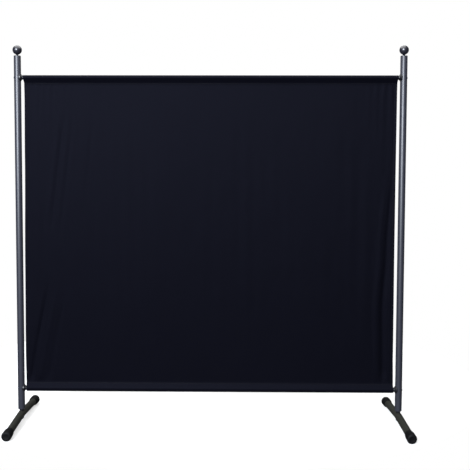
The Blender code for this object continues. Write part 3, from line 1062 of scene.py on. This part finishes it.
class SCREEN_OT_panel(bpy.types.Operator):
    """Make the cloth panel with its sleeves and hems, let it hang, and sew it"""

    bl_idname = "screen.panel"
    bl_label = "Cloth Panel"

    def execute(self, context):
        sizes = context.scene.screen_sizes
        looks = finishes(context)
        mesh, first, last, run = panel_grid(sizes)
        cloth = link("cloth_panel", mesh)
        let_hang(cloth, first, last)
        guide = seam_lines(cloth, sizes, first, last)
        width = COLUMNS + 1
        hem = cloth.vertex_groups.new(name="hem")
        places = [vertex.co.x for vertex in cloth.data.vertices]
        for index, x in enumerate(places):
            row = index // width
            edge = min(x - places[row * width], places[row * width + COLUMNS] - x)
            double = first < row < last and edge < sizes.hem
            hem.add([index], 1.0 if double else 0.5, "REPLACE")
        wall = cloth.modifiers.new("Thickness", "SOLIDIFY")
        wall.thickness = sizes.cloth * 2
        wall.offset = 0
        wall.vertex_group = hem.name
        wall.use_even_offset = True
        bake(cloth)
        mend(cloth.data)
        finish_piece(cloth, looks["panel_cloth"], BODY, ["fabric_panel"])
        cloth.vertex_groups.clear()
        sewing = grow(
            "panel_stitching", guide, stitch_tree(),
            {"Pitch": sizes.stitch_pitch, "Stitch Length": sizes.stitch_length,
             "Thread": sizes.thread, "Finish": looks["thread"]},
        )
        finish_piece(sewing, looks["thread"], BODY)
        return {"FINISHED"}


# The feet


def spacer_profile(top):
    """A spacer from its lip under the post down past the foot tube's crest, before it is coped."""
    lip_radius = radius_of("foot_saddle_left")
    waist, bore, edge = lip_radius - 0.0014, 0.0044, 0.0006
    low = FOOT_CREST + FOOT_RADIUS / 2
    lip = arc((lip_radius - edge, top - edge - 0.0001), edge, 90, -60, 5)
    return [(bore, top)] + lip + [(waist, top - 0.003), (waist + edge, low), (bore, low)]


class SCREEN_OT_feet(bpy.types.Operator):
    """Make the bent foot tubes and the spacers that seat the posts on them"""

    bl_idname = "screen.feet"
    bl_label = "Foot Tubes"

    def execute(self, context):
        sizes = context.scene.screen_sizes
        looks = finishes(context)
        bend_end = FOOT_BEND_RADIUS * math.sin(FOOT_SLOPE)
        reach = FOOT_HALF_LENGTH - CAP_END_WALL - GAP
        distances = [-reach] + [bend_end * i / 8 for i in range(-8, 9)] + [reach]
        collar = spacer_profile(POST_LOW - GAP)
        for side in SIDES:
            x, body = POST_X[side], FOOT_BODY[side]
            path = [(x, distance, foot_height(distance)) for distance in distances]
            tube = link(f"{side}_foot_tube", swept("foot_path", path, FOOT_RADIUS))
            wall = tube.modifiers.new("Tube wall", "SOLIDIFY")
            wall.thickness = sizes.foot_wall
            wall.offset = -1
            bake(tube)
            finish_piece(tube, looks["foot_coating"], body, [f"foot_{side}"])
            seat = link(f"{side}_foot_spacer", turned(collar, closed=True))
            seat.data.transform(Matrix.Translation((x, 0, 0)))
            crest = [(x, y, foot_height(y)) for y in (-0.024, -0.012, 0, 0.012, 0.024)]
            cut_away(seat, mend(swept("cope", crest, FOOT_RADIUS + GAP), fill=True))
            nodes = [f"foot_saddle_{side}"]
            finish_piece(seat, looks["nylon_fittings"], body, nodes)
        return {"FINISHED"}


def cap_profile():
    """A foot cap from its slightly dished round end back to its lip, and its socket."""
    edge, lip = 0.0085, 0.0009
    mouth, bore = FOOT_RADIUS + 0.0022, FOOT_RADIUS + 0.0002
    profile = [(0, -CAP_DISH), (CAP_RADIUS * 0.42, -CAP_DISH), (CAP_RADIUS * 0.50, 0)]
    profile += arc((CAP_RADIUS - edge, -edge), edge, 90, 0, 10)
    profile += [(CAP_RADIUS - inset, -CAP_LENGTH * share) for inset, share in CAP_BODY]
    profile += [(mouth + rise, -CAP_LENGTH * share) for rise, share in CAP_NECK]
    profile += arc((mouth - lip, -CAP_LENGTH + 0.0010), 0.0010, 20, -90, 5)
    return profile + [(bore, -CAP_LENGTH), (bore, -CAP_END_WALL), (0, -CAP_END_WALL)]


class SCREEN_OT_foot_caps(bpy.types.Operator):
    """Make the flared rubber caps on the feet, with a lipped mouth and a flat sole"""

    bl_idname = "screen.foot_caps"
    bl_label = "Foot Caps"

    def execute(self, context):
        rubber = finishes(context)["rubber_caps"]
        profile = cap_profile()
        for side in SIDES:
            for end in ENDS:
                forwards = -1 if end == "front" else 1
                cap = link(f"{side}_{end}_foot_cap", turned(profile))
                place = Matrix.Translation(
                    (POST_X[side], forwards * FOOT_HALF_LENGTH, foot_height(FOOT_HALF_LENGTH))
                )
                tip = Matrix.Rotation(-forwards * (math.pi / 2 + FOOT_SLOPE), 4, "X")
                cap.data.transform(place @ tip)
                for vertex in cap.data.vertices:
                    vertex.co.z = max(vertex.co.z, 0)
                nodes = [f"foot_cap_{end}_{side}"]
                finish_piece(cap, rubber, FOOT_BODY[side], nodes)
        return {"FINISHED"}


class SCREEN_OT_fittings(bpy.types.Operator):
    """Finish the fittings inside and under the screen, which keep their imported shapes"""

    bl_idname = "screen.fittings"
    bl_label = "Inner Fittings"

    def execute(self, context):
        looks = finishes(context)
        slots = {row["node"]: row["material_slot"] for row in frame["record"]["subparts"]}
        for name, node in frame["nodes"].items():
            if node.hide_render:
                continue
            for slot in node.material_slots:
                slot.material = looks[slots[name]]
        return {"FINISHED"}


# The studio


COOL_WHITE = (0.84, 0.90, 1)
# Each lamp's place, what it points at, its sides, watts and colour.
LAMPS = {
    "key softbox": ((-2.3, -6.2, 3.1), (0, 0, 1.2), (1.5, 1.5), 1320, COOL_WHITE),
    "rear softbox": ((0.8, 6.6, 2.2), (0, 0, 1.1), (1.5, 1.5), 900, COOL_WHITE),
    "overhead softbox": ((-0.4, 0.4, 4.2), (-0.4, 0.4, 0), (5.0, 5.0), 360, (1, 1, 1)),
}
FLOOR_MIDDLE = (0, 0.88, 0)

CAMERA_PLACE = (0.0483, -3.7037, 1.2295)
# Degrees that the camera looks down, turns left and leans.
CAMERA_DOWN, CAMERA_LEFT, CAMERA_LEAN = 3.505, 0.730, 0.115
CAMERA_LENS = 61.26
CAMERA_SHIFT = 0.0532


def soft_lamp(name, place, aim, size, power, colour):
    lamp = bpy.data.lights.new(name, "AREA")
    lamp.shape = "RECTANGLE"
    lamp.size, lamp.size_y = size
    lamp.energy = power
    lamp.color = colour
    made = link(name, lamp)
    made.visible_camera = False
    made.location = place
    made.rotation_mode = "QUATERNION"
    made.rotation_quaternion = (Vector(aim) - Vector(place)).to_track_quat("-Z", "Y")
    return made


def studio_world():
    """A white wall all round as the camera sees it, which lights the screen only faintly."""
    world = bpy.data.worlds.new("studio")
    world.use_nodes = True
    tree = world.node_tree
    tree.nodes.clear()
    ray = add_node(tree, "ShaderNodeLightPath")
    wall = add_node(tree, "ShaderNodeBackground", {"Color": (1, 1, 1, 1), "Strength": 1.0})
    glow = add_node(tree, "ShaderNodeBackground", {"Color": (0.9, 0.93, 1, 1), "Strength": 0.08})
    both = add_node(
        tree, "ShaderNodeMixShader",
        {0: ray.outputs["Is Camera Ray"], 1: glow.outputs[0], 2: wall.outputs[0]},
    )
    add_node(tree, "ShaderNodeOutputWorld", {"Surface": both.outputs[0]})
    return world


def studio_camera():
    lens = bpy.data.cameras.new("camera")
    lens.sensor_width = 36
    lens.lens = CAMERA_LENS
    lens.shift_x = CAMERA_SHIFT
    lens.shift_y = -CAMERA_SHIFT
    lens.clip_end = 100
    camera = link("camera", lens)
    camera.location = CAMERA_PLACE
    turn = Matrix.Rotation(math.radians(CAMERA_LEFT), 3, "Z")
    turn @= Matrix.Rotation(math.radians(90 - CAMERA_DOWN), 3, "X")
    turn @= Matrix.Rotation(math.radians(CAMERA_LEAN), 3, "Z")
    camera.rotation_euler = turn.to_euler()
    return camera


class SCREEN_OT_stage(bpy.types.Operator):
    """Set the floor, the soft studio light and the camera"""

    bl_idname = "screen.stage"
    bl_label = "Studio"

    def execute(self, context):
        scene = context.scene
        sizes, hues = scene.screen_sizes, scene.screen_colours
        disc = bpy.data.meshes.new("studio_floor")
        shell = bmesh.new()
        bmesh.ops.create_circle(shell, cap_ends=True, segments=96, radius=sizes.floor)
        shell.to_mesh(disc)
        shell.free()
        disc.transform(Matrix.Translation(FLOOR_MIDDLE))
        disc.materials.append(studio_floor("backlit opal acrylic", hues.floor))
        floor = link("studio_floor", disc)
        # Kept out of reflections, as black cards do in a studio, so that the coats stay dark.
        floor.visible_glossy = False

        lamps = {name: soft_lamp(name, *settings) for name, settings in LAMPS.items()}
        # Flagged off everything but the cloth, so that it draws no bright rims on the posts.
        lit = bpy.data.collections.new("lit from behind")
        for name in ("cloth_panel", "panel_stitching"):
            lit.objects.link(bpy.data.objects[name])
        lamps["rear softbox"].light_linking.receiver_collection = lit

        scene.world = studio_world()
        scene.camera = studio_camera()
        scene.view_settings.view_transform = "Standard"
        scene.view_settings.look = "None"
        return {"FINISHED"}


OPERATORS = (
    SCREEN_OT_tubes,
    SCREEN_OT_finials,
    SCREEN_OT_saddles,
    SCREEN_OT_bolts,
    SCREEN_OT_panel,
    SCREEN_OT_feet,
    SCREEN_OT_foot_caps,
    SCREEN_OT_fittings,
    SCREEN_OT_stage,
)


class SCREEN_PT_build(bpy.types.Panel):
    """Build the room divider screen piece by piece"""

    bl_label = "Room Divider Screen"
    bl_space_type = "VIEW_3D"
    bl_region_type = "UI"
    bl_category = "Screen"

    def draw(self, context):
        layout = self.layout
        for group in (context.scene.screen_sizes, context.scene.screen_colours):
            box = layout.box()
            for name in group.__annotations__:
                box.prop(group, name)
        for operator in OPERATORS:
            layout.operator(operator.bl_idname)


CLASSES = (ScreenSizes, ScreenColours, *OPERATORS, SCREEN_PT_build)


def register():
    for cls in CLASSES:
        bpy.utils.register_class(cls)
    bpy.types.Scene.screen_sizes = bpy.props.PointerProperty(type=ScreenSizes)
    bpy.types.Scene.screen_colours = bpy.props.PointerProperty(type=ScreenColours)


def unregister():
    del bpy.types.Scene.screen_colours
    del bpy.types.Scene.screen_sizes
    for cls in reversed(CLASSES):
        bpy.utils.unregister_class(cls)


def main():
    register()
    for operator in OPERATORS:
        group, name = operator.bl_idname.split(".")
        getattr(getattr(bpy.ops, group), name)()


if __name__ == "__main__":
    main()
